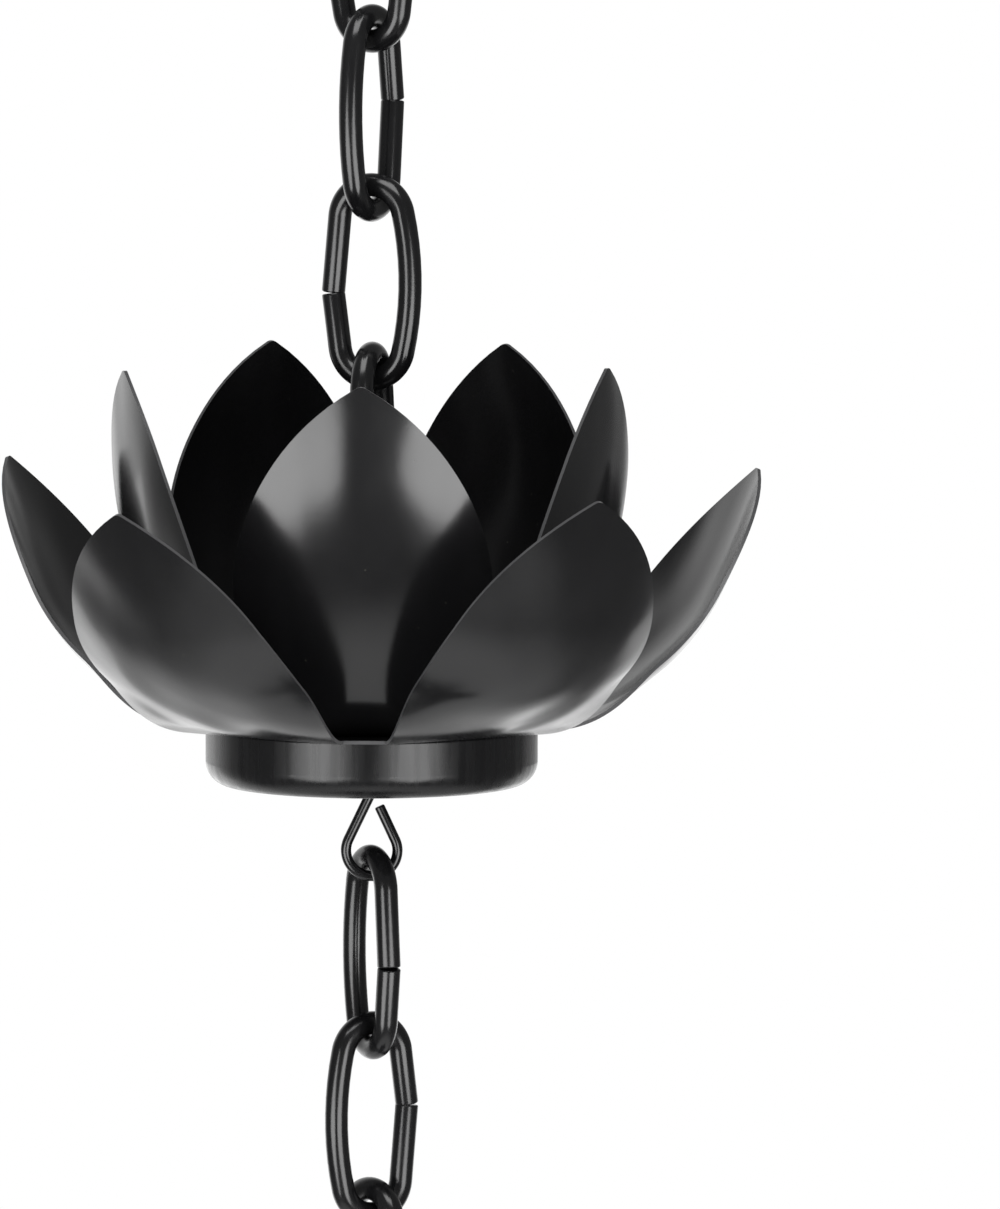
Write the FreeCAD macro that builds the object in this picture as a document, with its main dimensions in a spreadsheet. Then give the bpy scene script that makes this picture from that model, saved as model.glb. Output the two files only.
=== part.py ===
import FreeCAD, Part
import Sketcher
import math
import os

# A rain chain of painted steel: oval wire links carry three lotus cups, one below the other.
# Millimetres and degrees. +Z is up and the front of each cup faces -Y.
# The origin is the hang point, inside the top bend of the top link, where a hook would carry it.

SIZES = {
    # links: round wire bent to an oval, with its butt joint in one leg
    "link_wire": 4.0,
    "link_length": 37.0,
    "link_width": 18.2,
    "link_bend": 5.9,
    "joint_rise": 2.0,
    "joint_gap": 0.5,
    "link_play": 0.3,
    "link_turn": 97.0,
    "first_turn": 200.0,
    # how many links hang above the first cup, between two cups and below the last
    "links_at_top": 5,
    "links_between": 8,
    "links_at_foot": 3,
    "cup_count": 3,
    # base: a shallow pressed dish
    "base_width": 56.8,
    "base_height": 9.9,
    "base_wall": 1.0,
    "base_corner": 4.0,
    "base_rim_round": 0.4,
    "wire_hole": 2.6,
    "drain_hole": 5.0,
    "drain_circle": 28.0,
    "drain_count": 5,
    # flowers: one stamped blank, measured from its centre, pressed to two different depths
    "sheet": 0.6,
    "petal_count": 5,
    "petal_reach": 91.5,
    "petal_widest_at": 53.9,
    "petal_width": 44.6,
    "petal_root_width": 31.6,
    "petal_tip_round": 1.7,
    "petal_cupping_run": 21.6,
    "flower_hole": 12.0,
    "outer_root_distance": 28.0,
    "outer_root_bend": 6.0,
    "outer_root_angle": 5.7,
    "outer_belly": 38.9,
    "outer_tip_curl": 250.0,
    "outer_tip_length": 24.0,
    "outer_cup": 51.4,
    "inner_root_distance": 24.0,
    "inner_root_bend": 3.0,
    "inner_root_angle": 53.3,
    "inner_belly": 75.9,
    "inner_tip_curl": 250.0,
    "inner_tip_length": 15.0,
    "inner_cup": 59.7,
    # how each petal was set by hand, round from the flower's first petal: degrees that it
    # stands steeper at the root, and how far its tip leans sideways
    "outer_set_1": 0.0,
    "outer_set_2": 3.0,
    "outer_set_3": -3.5,
    "outer_set_4": 0.0,
    "outer_set_5": 0.0,
    "outer_lean_1": 0.0,
    "outer_lean_2": 0.0,
    "outer_lean_3": 2.5,
    "outer_lean_4": -1.0,
    "outer_lean_5": -1.0,
    "inner_set_1": -6.5,
    "inner_set_2": -2.5,
    "inner_set_3": 3.0,
    "inner_set_4": 8.5,
    "inner_set_5": -4.0,
    "inner_lean_1": 0.0,
    "inner_lean_2": -2.0,
    "inner_lean_3": 0.0,
    "inner_lean_4": -0.5,
    "inner_lean_5": 4.5,
    # hook: one wire through the cup, an eye above and an open teardrop below
    "hook_wire": 1.8,
    "hook_play": 0.5,
    "eye_rise": 34.2,
    "eye_bend": 4.9,
    "eye_end_angle": 20.0,
    "stem_bend": 2.5,
    "shoulder_drop": 0.8,
    "loop_drop": 25.8,
    "loop_bend": 4.4,
    "tail_lean": 25.0,
    "tail_length": 6.4,
}

START, END, CENTRE = 1, 2, 3
ORIGIN_POINT, HORIZONTAL_AXIS, VERTICAL_AXIS = -1, -1, -2

doc = FreeCAD.newDocument("RainChain")
sheet = doc.addObject("Spreadsheet::Sheet", "Sizes")
for row, (alias, value) in enumerate(SIZES.items(), start=1):
    sheet.set(f"A{row}", alias)
    sheet.set(f"B{row}", str(value))
    sheet.setAlias(f"B{row}", alias)
doc.recompute()


def size(alias):
    """A driving dimension, read from the sheet."""
    return float(getattr(sheet, alias))


def origin_plane(body, role):
    """One of a body's own origin planes, found by its role."""
    for feature in body.Origin.OriginFeatures:
        if feature.Role == role:
            return feature
    raise ValueError(f"{body.Label} has no {role}")


def new_body(label):
    """An empty body with the label that names its file."""
    body = doc.addObject("PartDesign::Body", label)
    body.Label = label
    return body


def new_sketch(body, name, role):
    """A sketch on one of the body's origin planes."""
    sketch = body.newObject("Sketcher::SketchObject", f"{body.Label}_{name}")
    sketch.AttachmentSupport = (origin_plane(body, role), [""])
    sketch.MapMode = "FlatFace"
    return sketch


def bind(sketch, name, kind, geometry, value, formula):
    """A dimension of a sketch, tied to the sheet."""
    index = sketch.addConstraint(Sketcher.Constraint(kind, *geometry, value))
    sketch.renameConstraint(index, name)
    sketch.setExpression(f"Constraints.{name}", formula)


def join_tangent(sketch, meetings):
    """Each meeting names two pieces and the ends where one runs smoothly into the other."""
    for first, first_end, second, second_end in meetings:
        sketch.addConstraint(Sketcher.Constraint("Tangent", first, first_end, second, second_end))


def at(x, z, distance=0.0, angle=0.0):
    """A sketch point, distance away from (x, z) at an angle in degrees."""
    turn = math.radians(angle)
    return FreeCAD.Vector(x + distance * math.cos(turn), z + distance * math.sin(turn), 0)


def line(start, end):
    return Part.LineSegment(start, end)


def arc(centre, radius, start_angle, end_angle):
    """A counter-clockwise arc, angles in degrees."""
    circle = Part.Circle(centre, FreeCAD.Vector(0, 0, 1), radius)
    return Part.ArcOfCircle(circle, math.radians(start_angle), math.radians(end_angle))


def bend_wire(body, path, formula):
    """Round wire of the given radius swept along the path sketch from its first edge."""
    doc.recompute()
    section = body.newObject("Sketcher::SketchObject", f"{body.Label}_section")
    section.AttachmentSupport = (path, ["Edge1"])
    section.MapMode = "NormalToEdge"
    section.MapPathParameter = 0.0
    section.addGeometry(Part.Circle(FreeCAD.Vector(), FreeCAD.Vector(0, 0, 1), 1.0))
    section.addConstraint(Sketcher.Constraint("Coincident", 0, CENTRE, ORIGIN_POINT, START))
    bind(section, "wire_radius", "Radius", (0,), 1.0, formula)
    pipe = body.newObject("PartDesign::AdditivePipe", f"{body.Label}_wire")
    pipe.Profile = section
    pipe.Spine = (path, [""])
    body.Tip = pipe


# Links. Every link is the same bent wire; only its place and its turn differ.

def link_path(body):
    """Centre line of the wire: up from the butt joint, round the top bend, down the plain
    leg, which is one bowed arc, round the foot and up to the other side of the joint."""
    bend = size("link_bend")
    reach = (size("link_width") - size("link_wire")) / 2
    bend_height = (size("link_length") - size("link_wire")) / 2 - bend
    joint = at(reach, size("joint_rise"))
    half_gap = size("joint_gap") / 2
    leg_radius = (reach ** 2 + bend_height ** 2 - bend ** 2) / (2 * (reach - bend))
    leg_centre = leg_radius - reach
    leg_angle = math.degrees(math.atan2(bend_height, leg_centre))

    def run_angle(end_height, side):
        """Angle of the bend where the straight run from the joint meets it."""
        towards = math.degrees(math.atan2(joint.y - end_height, joint.x))
        distance = math.hypot(joint.x, joint.y - end_height)
        return towards + side * math.degrees(math.acos(bend / distance))

    upper = run_angle(bend_height, 1)
    lower = run_angle(-bend_height, -1)
    upper_start = at(joint.x, joint.y, half_gap, upper + 90)
    lower_end = at(joint.x, joint.y, half_gap, lower - 90)

    path = new_sketch(body, "path", "XZ_Plane")
    path.addGeometry(line(upper_start, at(0, bend_height, bend, upper)))
    path.addGeometry(arc(at(0, bend_height), bend, upper, 180 - leg_angle))
    path.addGeometry(arc(at(leg_centre, 0), leg_radius, 180 - leg_angle, 180 + leg_angle))
    path.addGeometry(arc(at(0, -bend_height), bend, 180 + leg_angle, 360 + lower))
    path.addGeometry(line(at(0, -bend_height, bend, lower), lower_end))
    path.addGeometry(Part.Point(joint), True)
    path.addGeometry(Part.Point(at(-reach, 0)), True)
    run_up, top, leg, foot, run_down, joint_point, leg_point = range(7)

    join_tangent(path, [(run_up, END, top, START), (top, END, leg, START),
                        (leg, END, foot, START), (foot, END, run_down, START)])
    up_from_middle = (ORIGIN_POINT, START, top, CENTRE)
    up_to_middle = (foot, CENTRE, ORIGIN_POINT, START)
    for bend_arc, name, height_points in ((top, "top", up_from_middle), (foot, "foot", up_to_middle)):
        path.addConstraint(Sketcher.Constraint("PointOnObject", bend_arc, CENTRE, VERTICAL_AXIS))
        bind(path, f"{name}_radius", "Radius", (bend_arc,), bend, "Sizes.link_bend")
        bind(path, f"{name}_height", "DistanceY", height_points, bend_height,
             "(Sizes.link_length - Sizes.link_wire) / 2 - Sizes.link_bend")
    bind(path, "joint_reach", "DistanceX", (ORIGIN_POINT, START, joint_point, START), reach,
         "(Sizes.link_width - Sizes.link_wire) / 2")
    bind(path, "joint_rise", "DistanceY", (ORIGIN_POINT, START, joint_point, START), joint.y,
         "Sizes.joint_rise")
    path.addConstraint(Sketcher.Constraint("PointOnObject", leg_point, START, HORIZONTAL_AXIS))
    path.addConstraint(Sketcher.Constraint("PointOnObject", leg_point, START, leg))
    bind(path, "leg_reach", "DistanceX", (leg_point, START, ORIGIN_POINT, START), reach,
         "(Sizes.link_width - Sizes.link_wire) / 2")
    for run, end, name in ((run_up, START, "upper"), (run_down, END, "lower")):
        path.addConstraint(Sketcher.Constraint("PointOnObject", joint_point, START, run))
        bind(path, f"{name}_gap", "Distance", (run, end, joint_point, START), half_gap,
             "Sizes.joint_gap / 2")
    return path


def make_link(number, place_in_run, top_wire_height):
    """A link whose top wire centre hangs at the given height. Its turn follows from its
    place in the run, counted from the hook above it, and every second link is upside down."""
    body = new_body(f"link_{number:02d}")
    bend_wire(body, link_path(body), "Sizes.link_wire / 2")
    turn = FreeCAD.Rotation(FreeCAD.Vector(0, 0, 1), size("first_turn") + size("link_turn") * place_in_run)
    flip = FreeCAD.Rotation(FreeCAD.Vector(1, 0, 0), 180 * (place_in_run % 2))
    middle = top_wire_height - (size("link_length") - size("link_wire")) / 2
    body.Placement = FreeCAD.Placement(FreeCAD.Vector(0, 0, middle), turn.multiply(flip))
    return body


# Base of a cup: a shallow dish pressed from sheet, open at the top, with a small hole for
# the hook's wire and a ring of drain holes round it.

def make_base(label, ring_height):
    body = new_body(label)
    outer = size("base_width") / 2
    wall = size("base_wall")
    depth = size("base_height")
    corner = size("base_corner")
    hole = size("wire_hole") / 2
    profile = new_sketch(body, "profile", "XZ_Plane")
    corners = [at(hole, -depth), at(outer, -depth), at(outer, 0), at(outer - wall, 0),
               at(outer - wall, wall - depth), at(hole, wall - depth)]
    for start, end in zip(corners, corners[1:] + corners[:1]):
        profile.addGeometry(line(start, end))
    last = len(corners) - 1
    for index in range(len(corners)):
        following = (index + 1) % len(corners)
        profile.addConstraint(Sketcher.Constraint("Coincident", index, END, following, START))
        kind = "Horizontal" if index % 2 == 0 else "Vertical"
        profile.addConstraint(Sketcher.Constraint(kind, index))
    bind(profile, "hole_radius", "DistanceX", (ORIGIN_POINT, START, 0, START), hole,
         "Sizes.wire_hole / 2")
    bind(profile, "outer_radius", "DistanceX", (ORIGIN_POINT, START, 1, END), outer,
         "Sizes.base_width / 2")
    bind(profile, "depth", "DistanceY", (0, START, ORIGIN_POINT, START), depth,
         "Sizes.base_height")
    profile.addConstraint(Sketcher.Constraint("PointOnObject", 1, END, HORIZONTAL_AXIS))
    bind(profile, "side_wall", "DistanceX", (3, START, 1, END), wall, "Sizes.base_wall")
    bind(profile, "floor_wall", "DistanceY", (0, START, last, START), wall, "Sizes.base_wall")
    dish = body.newObject("PartDesign::Revolution", f"{label}_dish")
    dish.Profile = profile
    dish.ReferenceAxis = (profile, ["V_Axis"])
    dish.Angle = 360.0
    doc.recompute()

    def round_edges(source, name, radius, height, formula):
        """Fillet of the circular edge with this radius and height."""
        edges = []
        for index, edge in enumerate(source.Shape.Edges, start=1):
            circle = isinstance(edge.Curve, Part.Circle)
            if circle and abs(edge.Curve.Radius - radius) < 1e-6:
                if abs(edge.Curve.Center.z - height) < 1e-6:
                    edges.append(f"Edge{index}")
        fillet = body.newObject("PartDesign::Fillet", f"{label}_{name}")
        fillet.Base = (source, edges)
        fillet.setExpression("Radius", formula)
        body.Tip = fillet
        doc.recompute()
        return fillet

    outside = round_edges(dish, "outer_corner", outer, -depth, "Sizes.base_corner")
    inside = round_edges(outside, "inner_corner", outer - wall, wall - depth,
                         "Sizes.base_corner - Sizes.base_wall")
    rim = round_edges(inside, "rim_round", outer, 0, "Sizes.base_rim_round")

    drains = new_sketch(body, "drain", "XY_Plane")
    drain_radius = size("drain_hole") / 2
    drain_distance = size("drain_circle") / 2
    drains.addGeometry(Part.Circle(at(drain_distance, 0), FreeCAD.Vector(0, 0, 1), drain_radius))
    drains.addConstraint(Sketcher.Constraint("PointOnObject", 0, CENTRE, HORIZONTAL_AXIS))
    bind(drains, "drain_distance", "DistanceX", (ORIGIN_POINT, START, 0, CENTRE),
         drain_distance, "Sizes.drain_circle / 2")
    bind(drains, "drain_radius", "Radius", (0,), drain_radius, "Sizes.drain_hole / 2")
    pocket = body.newObject("PartDesign::Pocket", f"{label}_drain_cut")
    pocket.Profile = drains
    pocket.Type = "ThroughAll"
    doc.recompute()
    drained = math.pi * drain_radius ** 2 * wall
    if abs(rim.Shape.Volume - pocket.Shape.Volume - drained) > 0.01 * drained:
        raise ValueError(f"the drain hole of {label} cuts the wrong volume")
    ring = body.newObject("PartDesign::PolarPattern", f"{label}_drain_ring")
    ring.Originals = [pocket]
    ring.Axis = (drains, ["N_Axis"])
    ring.Angle = 360.0
    ring.Occurrences = round(size("drain_count"))
    body.Tip = ring
    body.Placement.Base = FreeCAD.Vector(0, 0, ring_height)
    return body


# Flowers. A five-petal blank is stamped from sheet and its petals are pressed into curled,
# cupped shells. On the blank, lengths are counted from the centre along a petal's spine. The
# two flowers differ in where the petals fold up from the flat plate and how far they curl.

def side_arc(run, drop):
    """Radius of the arc that is level with the spine at the petal's widest place and comes
    in by the drop over the run."""
    return (run ** 2 + drop ** 2) / (2 * drop)


def tip_side_radius():
    return side_arc(size("petal_reach") - size("petal_widest_at"), size("petal_width") / 2)


def petal_half_width(from_centre):
    """Half the blank petal's width, between one arc towards the tip and one towards the root."""
    half_width = size("petal_width") / 2
    from_widest = from_centre - size("petal_widest_at")
    if from_widest > 0:
        radius = tip_side_radius()
    else:
        root_run = size("petal_widest_at") - size("outer_root_distance")
        radius = side_arc(root_run, half_width - size("petal_root_width") / 2)
    return half_width - radius + math.sqrt(radius ** 2 - from_widest ** 2)


def tip_arc():
    """Centre of the arc that rounds the tip, and where it takes over from the sides."""
    radius = tip_side_radius()
    offset = radius - size("petal_width") / 2
    small = size("petal_tip_round")
    run = math.sqrt((radius - small) ** 2 - offset ** 2)
    centre = size("petal_widest_at") + run
    meets = size("petal_widest_at") + run * radius / (radius - small)
    return centre, meets


def spine_point(root, bends, along):
    """Distance out, rise and slope in radians of a spine that starts flat at the root and is
    made of tangent arcs, each given as (radius, length). The last arc runs on past its length."""
    out, rise, slope = root, 0.0, 0.0
    for index, (radius, length) in enumerate(bends):
        step = along if index == len(bends) - 1 else min(along, length)
        turned = slope + step / radius
        out += radius * (math.sin(turned) - math.sin(slope))
        rise += radius * (math.cos(slope) - math.cos(turned))
        slope = turned
        along -= step
        if along <= 0:
            break
    return out, rise, slope


def petal_point(layer, bends, lean, along, across, lift):
    """A point of the pressed petal, along its spine from the root. The sheet bends across
    its spine, more and more from the flat root until the full cup radius is reached, and lift
    is along its normal."""
    root = size(f"{layer}_root_distance")
    out, rise, slope = spine_point(root, bends, along)
    share = min(max(along / size("petal_cupping_run"), 0.0), 1.0)
    curvature = share * share * (3 - 2 * share) / size(f"{layer}_cup")
    turn = across * curvature
    if curvature > 1e-9:
        sideways = math.sin(turn) / curvature
        sag = (1 - math.cos(turn)) / curvature
    else:
        sideways = across
        sag = 0.0
    sideways -= lift * math.sin(turn)
    sag += lift * math.cos(turn)
    sideways += lean * (along / (size("petal_reach") - root)) ** 2
    return FreeCAD.Vector(out - sag * math.sin(slope), sideways, rise + sag * math.cos(slope))


PETAL_ROWS = 20
PETAL_COLUMNS = 10


def petal_face_points(layer, bends, lean, lift):
    """Rows from root to tip, closer together at the root, where the inner petals bend
    sharply. Each row bows forward towards the tip, so that the last one is the tip's arc."""
    root = size(f"{layer}_root_distance")
    centre, meets = tip_arc()
    small = size("petal_tip_round")
    end_half_width = petal_half_width(meets)
    rows = []
    for row in range(PETAL_ROWS + 1):
        share = (row / PETAL_ROWS) ** 1.5
        along = (meets - root) * share
        half_width = petal_half_width(root + along)
        points = []
        for column in range(PETAL_COLUMNS + 1):
            across = half_width * (2 * column / PETAL_COLUMNS - 1)
            tip_across = across * end_half_width / half_width
            bow = centre + math.sqrt(small ** 2 - tip_across ** 2) - meets
            points.append(petal_point(layer, bends, lean, along + bow * share ** 4, across, lift))
        rows.append(points)
    return rows


def smooth_face(points):
    surface = Part.BSplineSurface()
    surface.interpolate(points)
    return surface


def make_petal(layer, number):
    """A petal as a thin closed solid: an outer and an inner face, joined all round."""
    bends = petal_bends(layer, number)
    lean = hand_setting(layer, "lean", number)
    outside = smooth_face(petal_face_points(layer, bends, lean, 0.0))
    inside = smooth_face(petal_face_points(layer, bends, lean, size("sheet")))
    faces = [outside.toShape(), inside.toShape()]
    for sides in ("uIso", "vIso"):
        for value in (0.0, 1.0):
            lower = getattr(outside, sides)(value)
            upper = getattr(inside, sides)(value)
            faces.append(Part.makeRuledSurface(lower.toShape(), upper.toShape()))
    shell = Part.makeShell(faces)
    shell.sewShape()
    solid = Part.makeSolid(shell)
    if solid.Volume < 0:
        solid.reverse()
    return solid


def petal_bends(layer, number):
    """Spine of one petal: a bend at the root, a long belly and a nearly straight tip."""
    root = size(f"{layer}_root_bend")
    root_angle = size(f"{layer}_root_angle") + hand_setting(layer, "set", number)
    root_length = root * math.radians(root_angle)
    tip_length = size(f"{layer}_tip_length")
    belly_length = size("petal_reach") - size(f"{layer}_root_distance") - root_length - tip_length
    return [(root, root_length), (size(f"{layer}_belly"), belly_length),
            (size(f"{layer}_tip_curl"), tip_length)]


def hand_setting(layer, kind, number):
    """How this petal was bent by hand; petals past the named ones were left as pressed."""
    alias = f"{layer}_{kind}_{number}"
    return size(alias) if alias in SIZES else 0.0


def make_flower(label, layer, first_angle, plate_height):
    """Centre plate and petals as one sheet. Angles are counted from the front, -Y."""
    thickness = size("sheet")
    count = round(size("petal_count"))
    root = size(f"{layer}_root_distance")
    root_half_width = petal_half_width(root)
    up = FreeCAD.Vector(0, 0, 1)
    outline = []
    petals = []
    for number in range(1, count + 1):
        spin = FreeCAD.Rotation(up, first_angle + 360 / count * (number - 1) - 90)
        for across in (-root_half_width, root_half_width):
            outline.append(spin.multVec(FreeCAD.Vector(root, across, 0)))
        petal = make_petal(layer, number)
        petal.Placement = FreeCAD.Placement(FreeCAD.Vector(), spin)
        petals.append(petal)
    plate = Part.Face(Part.makePolygon(outline + outline[:1])).extrude(up * thickness)
    hole = Part.makeCylinder(size("flower_hole") / 2, thickness)
    flower = doc.addObject("Part::Feature", label)
    flower.Label = label
    flower.Shape = plate.cut(hole).multiFuse(petals).removeSplitter()
    flower.Placement = FreeCAD.Placement(FreeCAD.Vector(0, 0, plate_height), FreeCAD.Rotation())
    return flower


# Hook. One wire carries the cup: a closed eye above hangs on the chain, the stem runs down
# through the cup, and an open teardrop below holds the base on its shoulder and takes the
# next link.

def hook_path(body):
    eye = size("eye_bend")
    eye_height = size("eye_rise") - eye
    bend = size("stem_bend")
    neck_height = eye_height - math.sqrt((eye + bend) ** 2 - bend ** 2)
    neck_angle = math.degrees(math.atan2(eye_height - neck_height, bend))
    shoulder_height = -size("base_height") - size("shoulder_drop")
    loop = size("loop_bend")
    loop_height = loop - size("loop_drop")
    centres = math.hypot(bend, shoulder_height - loop_height)
    splay = math.degrees(math.asin((bend + loop) / centres)
                         - math.atan2(bend, shoulder_height - loop_height))
    tail_lean = size("tail_lean")
    tail_start = at(0, loop_height, loop, tail_lean)

    path = new_sketch(body, "path", "XZ_Plane")
    path.addGeometry(arc(at(0, eye_height), eye, size("eye_end_angle") - 90, 180 + neck_angle))
    path.addGeometry(arc(at(-bend, neck_height), bend, 0, neck_angle))
    path.addGeometry(line(at(0, neck_height), at(0, shoulder_height)))
    path.addGeometry(arc(at(-bend, shoulder_height), bend, -splay, 0))
    path.addGeometry(line(at(-bend, shoulder_height, bend, -splay),
                          at(0, loop_height, loop, 180 - splay)))
    path.addGeometry(arc(at(0, loop_height), loop, 180 - splay, 360 + tail_lean))
    path.addGeometry(line(tail_start, at(tail_start.x, tail_start.y, size("tail_length"),
                                         90 + tail_lean)))
    eye_arc, neck, stem, shoulder, side_run, loop_arc, tail = range(7)

    join_tangent(path, [(eye_arc, END, neck, END), (neck, START, stem, START),
                        (stem, END, shoulder, END), (shoulder, START, side_run, START),
                        (side_run, END, loop_arc, START), (loop_arc, END, tail, START)])
    for ring in (eye_arc, loop_arc):
        path.addConstraint(Sketcher.Constraint("PointOnObject", ring, CENTRE, VERTICAL_AXIS))
    path.addConstraint(Sketcher.Constraint("PointOnObject", stem, START, VERTICAL_AXIS))
    path.addConstraint(Sketcher.Constraint("Vertical", stem))
    bind(path, "eye_radius", "Radius", (eye_arc,), eye, "Sizes.eye_bend")
    bind(path, "eye_height", "DistanceY", (ORIGIN_POINT, START, eye_arc, CENTRE), eye_height,
         "Sizes.eye_rise - Sizes.eye_bend")
    bind(path, "eye_end", "DistanceX", (ORIGIN_POINT, START, eye_arc, START),
         eye * math.sin(math.radians(size("eye_end_angle"))),
         "Sizes.eye_bend * sin(Sizes.eye_end_angle * 1 deg)")
    for bend_arc, name in ((neck, "neck"), (shoulder, "shoulder")):
        bind(path, f"{name}_radius", "Radius", (bend_arc,), bend, "Sizes.stem_bend")
    bind(path, "shoulder_height", "DistanceY", (stem, END, ORIGIN_POINT, START),
         -shoulder_height, "Sizes.base_height + Sizes.shoulder_drop")
    bind(path, "loop_radius", "Radius", (loop_arc,), loop, "Sizes.loop_bend")
    bind(path, "loop_height", "DistanceY", (loop_arc, CENTRE, ORIGIN_POINT, START),
         -loop_height, "Sizes.loop_drop - Sizes.loop_bend")
    bind(path, "tail_angle", "Angle", (tail,), math.radians(90 + tail_lean),
         "90 deg + Sizes.tail_lean * 1 deg")
    bind(path, "tail_length", "Distance", (tail,), size("tail_length"), "Sizes.tail_length")
    return path


def make_hook(label, ring_height):
    body = new_body(label)
    bend_wire(body, hook_path(body), "Sizes.hook_wire / 2")
    body.Placement.Base = FreeCAD.Vector(0, 0, ring_height)
    return body


# The chain is hung from the top down. Heights are wire centres until a cup is reached,
# whose own zero is the plane where its base and its flowers meet.

parts = []
link_span = size("link_length") - size("link_wire")
link_rise = size("link_wire") + size("link_play")
hook_rise = (size("link_wire") + size("hook_wire")) / 2 + size("hook_play")
cup_count = round(size("cup_count"))
links_between = round(size("links_between"))
links_at_top = round(size("links_at_top"))
links_at_foot = round(size("links_at_foot"))

number = 0
top_wire = size("link_wire") / 2
for run in range(cup_count + 1):
    first, last = 1, links_between
    if run == 0:
        first = links_between - links_at_top + 1
    elif run == cup_count:
        last = links_at_foot
    for place_in_run in range(first, last + 1):
        number += 1
        parts.append(make_link(number, place_in_run, top_wire))
        bottom_wire = top_wire - link_span
        top_wire = bottom_wire + link_rise
    if run < cup_count:
        cup = f"cup_{run + 1}"
        ring = bottom_wire + hook_rise - size("eye_rise")
        parts.append(make_base(f"{cup}_base", ring))
        parts.append(make_flower(f"{cup}_outer_flower", "outer", 180.0, ring))
        parts.append(make_flower(f"{cup}_inner_flower", "inner", 0.0, ring + size("sheet")))
        parts.append(make_hook(f"{cup}_hook", ring))
        top_wire = ring - size("loop_drop") + hook_rise

doc.recompute()
for item in doc.Objects:
    if "Invalid" in item.State or "Error" in item.State:
        raise RuntimeError(f"{item.Label} did not build: {item.State}")
for piece in parts:
    if piece.Shape.isNull() or not piece.Shape.isValid() or len(piece.Shape.Solids) != 1:
        raise RuntimeError(f"{piece.Label} is not one valid solid")

os.makedirs("parts", exist_ok=True)
for piece in parts:
    piece.Shape.exportStep(f"parts/{piece.Label}.step")
    print(piece.Label, round(piece.Shape.Volume, 1), piece.Shape.BoundBox)
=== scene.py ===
import math

import bmesh
import bpy
from mathutils import Matrix, Vector


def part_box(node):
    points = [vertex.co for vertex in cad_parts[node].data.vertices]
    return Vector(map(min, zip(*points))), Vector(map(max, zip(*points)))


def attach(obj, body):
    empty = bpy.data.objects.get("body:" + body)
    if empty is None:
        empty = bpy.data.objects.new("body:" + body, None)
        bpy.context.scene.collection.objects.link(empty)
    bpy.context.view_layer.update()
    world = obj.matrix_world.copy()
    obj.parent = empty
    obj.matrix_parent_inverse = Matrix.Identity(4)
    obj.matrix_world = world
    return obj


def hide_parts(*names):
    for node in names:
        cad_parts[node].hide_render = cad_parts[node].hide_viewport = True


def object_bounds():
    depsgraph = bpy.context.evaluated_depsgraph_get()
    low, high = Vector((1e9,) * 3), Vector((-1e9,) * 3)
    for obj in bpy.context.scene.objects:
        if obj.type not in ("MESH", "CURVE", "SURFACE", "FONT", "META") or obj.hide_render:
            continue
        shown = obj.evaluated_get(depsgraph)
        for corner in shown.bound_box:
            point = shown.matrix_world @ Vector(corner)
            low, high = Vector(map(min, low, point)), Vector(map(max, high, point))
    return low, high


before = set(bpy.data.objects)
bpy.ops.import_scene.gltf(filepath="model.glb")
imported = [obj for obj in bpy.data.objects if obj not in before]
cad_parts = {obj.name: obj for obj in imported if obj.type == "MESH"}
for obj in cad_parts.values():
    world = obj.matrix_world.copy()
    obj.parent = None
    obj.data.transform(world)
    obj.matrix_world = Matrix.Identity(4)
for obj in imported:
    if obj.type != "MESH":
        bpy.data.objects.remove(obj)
cad_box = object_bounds()
scene = bpy.context.scene

# Chain links
# Each link is 4 mm round steel wire, bent cold to a long oval. Its two ends butt together
# halfway down one leg, unwelded, with a thin dark gap and a slight knee. Like every piece, it
# is painted satin black after it is bent.

# The pieces' sizes are in mm, and the scene and its studio are in metres. Angles are in degrees.
MM = 0.001
LINK_WIRE = 4.0
LINK_LENGTH = 37.0
LINK_WIDTH = 18.2
LINK_BEND = 5.9
JOINT_RISE = 2.0
JOINT_GAP = 0.12
LINK_TURN = 97.0
FIRST_TURN = 200.0
LINKS_AT_TOP = 5
LINKS_BETWEEN = 8
WIRE_SIDES = 36
WIRE_STEP = 3.0
END_ROUND = 0.3
END_STEPS = 5
PAINT_DARK = "#0b0b0c"
PAINT_PALE = "#161617"
PAINT_DUST = "#34342f"
PAINT_IOR = 1.5
GRAIN_RANGE = (0.3, 0.7)
DUST_SPACING = 5.0
DUST_EDGE = (0.02, 0.05)
DUST_SHARE = 0.6


def linear(hex_colour):
    """An sRGB hex colour as the linear values that a socket takes."""
    shares = [int(hex_colour[start:start + 2], 16) / 255 for start in (1, 3, 5)]
    return [(s / 12.92 if s <= 0.04045 else ((s + 0.055) / 1.055) ** 2.4) for s in shares] + [1.0]


def add_node(tree, kind, settings=None, inputs=None):
    """Adds a node. An input is given a value, or the socket that feeds it."""
    node = tree.nodes.new(kind)
    for name, value in (settings or {}).items():
        setattr(node, name, value)
    for name, value in (inputs or {}).items():
        if isinstance(value, bpy.types.NodeSocket):
            tree.links.new(value, node.inputs[name])
        else:
            node.inputs[name].default_value = value
    return node


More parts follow.
